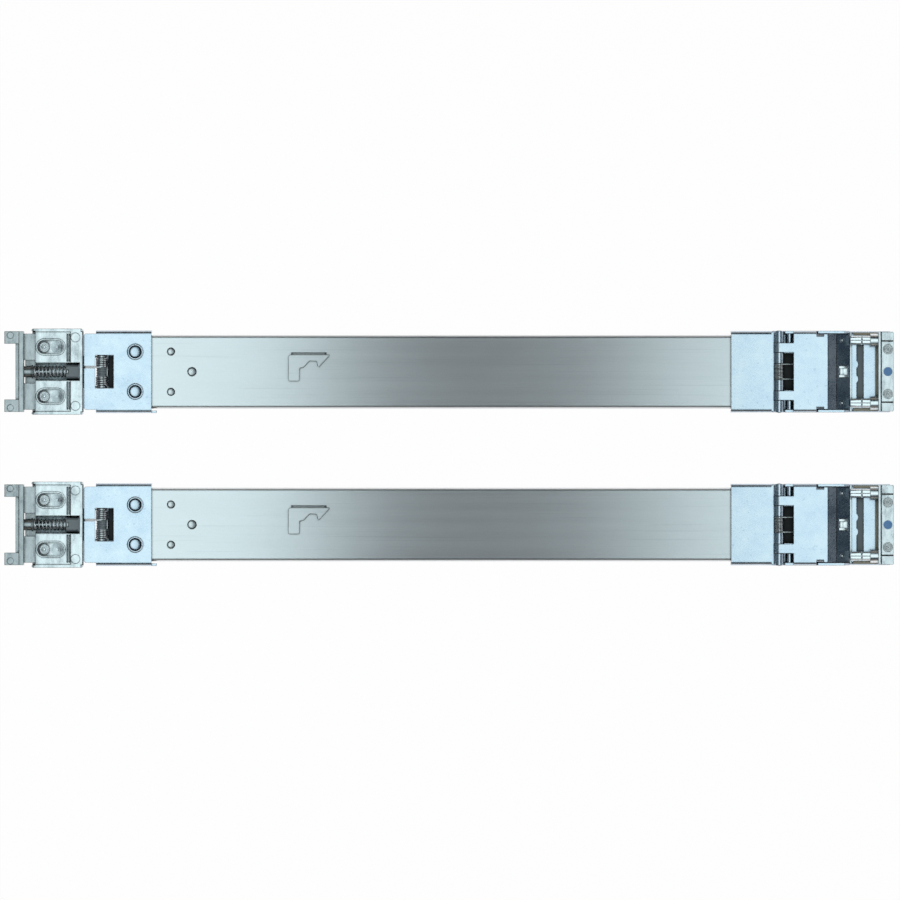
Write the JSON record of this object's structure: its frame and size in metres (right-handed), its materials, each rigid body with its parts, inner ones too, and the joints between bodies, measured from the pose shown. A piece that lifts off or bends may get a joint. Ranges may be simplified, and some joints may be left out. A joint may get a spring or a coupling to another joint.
{
  "type": "sliding server rail pair",
  "caption": "Pair of telescoping ball-bearing server rails with tool-less spring latches for square or round hole rack posts.",
  "frame": {"origin": "centre of the footprint of the two rails laid side by side, on the surface they lie on", "axes": "+X to the front of the rack along both rails, +Z outboard, away from the server; each rail height in the rack runs along Y"},
  "size_m": [0.6304, 0.1696, 0.0236],
  "materials": {
    "galvanised": "galvanised sheet, fine lengthwise brushing, satin",
    "zinc_plate": "bright clear-blue zinc plating over pressed sheet",
    "die_cast": "die-cast zinc alloy, bare, satin with fine grain",
    "spring_steel": "bright spring wire, nickel plated",
    "pin_steel": "turned steel, bright chrome",
    "ball_steel": "polished ball steel",
    "cage_plastic": "natural acetal",
    "bumper": "black elastomer",
    "lever_plastic": "blue glass-filled nylon",
    "seat_grey": "grey acetal",
    "rivet_grey": "dull turned rivet head",
    "marker_blue": "blue touch-point disc"
  },
  "bodies": {
    "outer_rails": {"rail_a_outer_member": "galvanised", "rail_a_slide_stop": "bumper", "rail_a_front_bracket": "zinc_plate", "rail_a_front_hinge_pin": "pin_steel", "rail_a_front_gate_spring": "spring_steel", "rail_a_front_ear": "die_cast", "rail_a_front_post_pins": "pin_steel", "rail_a_front_ear_rivets": "rivet_grey", "rail_a_front_marker": "marker_blue", "rail_b_outer_member": "galvanised", "rail_b_slide_stop": "bumper", "rail_b_front_bracket": "zinc_plate", "rail_b_front_hinge_pin": "pin_steel", "rail_b_front_gate_spring": "spring_steel", "rail_b_front_ear": "die_cast", "rail_b_front_post_pins": "pin_steel", "rail_b_front_ear_rivets": "rivet_grey", "rail_b_front_marker": "marker_blue"},
    "rail_a_intermediate_slide_body": {"rail_a_intermediate_member": "galvanised"},
    "rail_a_inner_slide_body": {"rail_a_inner_member": "galvanised"},
    "rail_a_outer_cage_body": {"rail_a_outer_ball_cage": "cage_plastic", "rail_a_outer_balls": "ball_steel"},
    "rail_a_inner_cage_body": {"rail_a_inner_ball_cage": "cage_plastic", "rail_a_inner_balls": "ball_steel"},
    "rail_a_release_lever_body": {"rail_a_slide_release_lever": "lever_plastic"},
    "rail_a_chassis_lock_body": {"rail_a_chassis_lock_lever": "lever_plastic"},
    "rail_a_rear_bracket_body": {"rail_a_rear_bracket": "zinc_plate", "rail_a_depth_arm": "galvanised", "rail_a_rear_pivot_pin": "pin_steel", "rail_a_rear_pivot_spring": "spring_steel"},
    "rail_a_rear_head_body": {"rail_a_rear_head": "die_cast", "rail_a_rear_hinge_strap": "galvanised", "rail_a_rear_spring_seat": "seat_grey"},
    "rail_a_rear_yoke_body": {"rail_a_rear_latch_yoke": "die_cast", "rail_a_rear_guide_studs": "pin_steel", "rail_a_rear_latch_spring": "spring_steel"},
    "rail_a_gate_body": {"rail_a_front_gate": "zinc_plate", "rail_a_front_gate_rivets": "rivet_grey"},
    "rail_a_button_body": {"rail_a_front_release_button": "pin_steel"},
    "rail_b_intermediate_slide_body": {"rail_b_intermediate_member": "galvanised"},
    "rail_b_inner_slide_body": {"rail_b_inner_member": "galvanised"},
    "rail_b_outer_cage_body": {"rail_b_outer_ball_cage": "cage_plastic", "rail_b_outer_balls": "ball_steel"},
    "rail_b_inner_cage_body": {"rail_b_inner_ball_cage": "cage_plastic", "rail_b_inner_balls": "ball_steel"},
    "rail_b_release_lever_body": {"rail_b_slide_release_lever": "lever_plastic"},
    "rail_b_chassis_lock_body": {"rail_b_chassis_lock_lever": "lever_plastic"},
    "rail_b_rear_bracket_body": {"rail_b_rear_bracket": "zinc_plate", "rail_b_depth_arm": "galvanised", "rail_b_rear_pivot_pin": "pin_steel", "rail_b_rear_pivot_spring": "spring_steel"},
    "rail_b_rear_head_body": {"rail_b_rear_head": "die_cast", "rail_b_rear_hinge_strap": "galvanised", "rail_b_rear_spring_seat": "seat_grey"},
    "rail_b_rear_yoke_body": {"rail_b_rear_latch_yoke": "die_cast", "rail_b_rear_guide_studs": "pin_steel", "rail_b_rear_latch_spring": "spring_steel"},
    "rail_b_gate_body": {"rail_b_front_gate": "zinc_plate", "rail_b_front_gate_rivets": "rivet_grey"},
    "rail_b_button_body": {"rail_b_front_release_button": "pin_steel"}
  },
  "joints": [
    {"name": "rail_a_intermediate_slide", "type": "slide", "parent": "outer_rails", "child": "rail_a_intermediate_slide_body", "axis": [1, 0, 0], "range_m": [0, 0.3]},
    {"name": "rail_a_inner_slide", "type": "slide", "parent": "rail_a_intermediate_slide_body", "child": "rail_a_inner_slide_body", "axis": [1, 0, 0], "range_m": [0, 0.32]},
    {"name": "rail_a_outer_cage_slide", "type": "slide", "parent": "outer_rails", "child": "rail_a_outer_cage_body", "axis": [1, 0, 0], "range_m": [0, 0.15]},
    {"name": "rail_a_inner_cage_slide", "type": "slide", "parent": "rail_a_intermediate_slide_body", "child": "rail_a_inner_cage_body", "axis": [1, 0, 0], "range_m": [0, 0.16]},
    {"name": "rail_a_release_lever_swing", "type": "hinge", "parent": "rail_a_inner_slide_body", "child": "rail_a_release_lever_body", "pos_m": [0.06, 0.0543, 0.003], "axis": [0, 0, -1], "range_deg": [0, 8], "stiffness_Nm_per_rad": 0.05},
    {"name": "rail_a_chassis_lock_swing", "type": "hinge", "parent": "rail_a_inner_slide_body", "child": "rail_a_chassis_lock_body", "pos_m": [0.262, 0.0543, 0.003], "axis": [0, 0, -1], "range_deg": [0, 14], "stiffness_Nm_per_rad": 0.05},
    {"name": "rail_a_depth_slide", "type": "slide", "parent": "outer_rails", "child": "rail_a_rear_bracket_body", "axis": [-1, 0, 0], "range_m": [0, 0.237]},
    {"name": "rail_a_rear_head_swing", "type": "hinge", "parent": "rail_a_rear_bracket_body", "child": "rail_a_rear_head_body", "pos_m": [-0.2467, 0.0543, 0.0115], "axis": [0, 1, 0], "range_deg": [0, 10], "stiffness_Nm_per_rad": 1.2, "springref_deg": -20.05},
    {"name": "rail_a_rear_yoke_slide", "type": "slide", "parent": "rail_a_rear_head_body", "child": "rail_a_rear_yoke_body", "axis": [1, 0, 0], "range_m": [0, 0.008], "stiffness_N_per_m": 900, "springref_m": -0.004, "deforming": ["rail_a_rear_latch_spring"]},
    {"name": "rail_a_gate_swing", "type": "hinge", "parent": "outer_rails", "child": "rail_a_gate_body", "pos_m": [0.2342, 0.0543, 0.01755], "axis": [0, -1, 0], "range_deg": [0, 30], "stiffness_Nm_per_rad": 0.4, "springref_deg": -17.19},
    {"name": "rail_a_release_button_press", "type": "slide", "parent": "rail_a_gate_body", "child": "rail_a_button_body", "axis": [-0.307, 0, -0.9517], "range_m": [0, 0.001], "stiffness_N_per_m": 600},
    {"name": "rail_b_intermediate_slide", "type": "slide", "parent": "outer_rails", "child": "rail_b_intermediate_slide_body", "axis": [1, 0, 0], "range_m": [0, 0.3]},
    {"name": "rail_b_inner_slide", "type": "slide", "parent": "rail_b_intermediate_slide_body", "child": "rail_b_inner_slide_body", "axis": [1, 0, 0], "range_m": [0, 0.32]},
    {"name": "rail_b_outer_cage_slide", "type": "slide", "parent": "outer_rails", "child": "rail_b_outer_cage_body", "axis": [1, 0, 0], "range_m": [0, 0.15]},
    {"name": "rail_b_inner_cage_slide", "type": "slide", "parent": "rail_b_intermediate_slide_body", "child": "rail_b_inner_cage_body", "axis": [1, 0, 0], "range_m": [0, 0.16]},
    {"name": "rail_b_release_lever_swing", "type": "hinge", "parent": "rail_b_inner_slide_body", "child": "rail_b_release_lever_body", "pos_m": [0.06, -0.0543, 0.003], "axis": [0, 0, -1], "range_deg": [0, 8], "stiffness_Nm_per_rad": 0.05},
    {"name": "rail_b_chassis_lock_swing", "type": "hinge", "parent": "rail_b_inner_slide_body", "child": "rail_b_chassis_lock_body", "pos_m": [0.262, -0.0543, 0.003], "axis": [0, 0, -1], "range_deg": [0, 14], "stiffness_Nm_per_rad": 0.05},
    {"name": "rail_b_depth_slide", "type": "slide", "parent": "outer_rails", "child": "rail_b_rear_bracket_body", "axis": [-1, 0, 0], "range_m": [0, 0.237]},
    {"name": "rail_b_rear_head_swing", "type": "hinge", "parent": "rail_b_rear_bracket_body", "child": "rail_b_rear_head_body", "pos_m": [-0.2467, -0.0543, 0.0115], "axis": [0, 1, 0], "range_deg": [0, 10], "stiffness_Nm_per_rad": 1.2, "springref_deg": -20.05},
    {"name": "rail_b_rear_yoke_slide", "type": "slide", "parent": "rail_b_rear_head_body", "child": "rail_b_rear_yoke_body", "axis": [1, 0, 0], "range_m": [0, 0.008], "stiffness_N_per_m": 900, "springref_m": -0.004, "deforming": ["rail_b_rear_latch_spring"]},
    {"name": "rail_b_gate_swing", "type": "hinge", "parent": "outer_rails", "child": "rail_b_gate_body", "pos_m": [0.2342, -0.0543, 0.01755], "axis": [0, -1, 0], "range_deg": [0, 30], "stiffness_Nm_per_rad": 0.4, "springref_deg": -17.19},
    {"name": "rail_b_release_button_press", "type": "slide", "parent": "rail_b_gate_body", "child": "rail_b_button_body", "axis": [-0.307, 0, -0.9517], "range_m": [0, 0.001], "stiffness_N_per_m": 600}
  ],
  "couplings": [
    {"joint": "rail_a_outer_cage_slide", "follows": "rail_a_intermediate_slide", "ratio": 0.5},
    {"joint": "rail_a_inner_cage_slide", "follows": "rail_a_inner_slide", "ratio": 0.5},
    {"joint": "rail_b_outer_cage_slide", "follows": "rail_b_intermediate_slide", "ratio": 0.5},
    {"joint": "rail_b_inner_cage_slide", "follows": "rail_b_inner_slide", "ratio": 0.5}
  ]
}
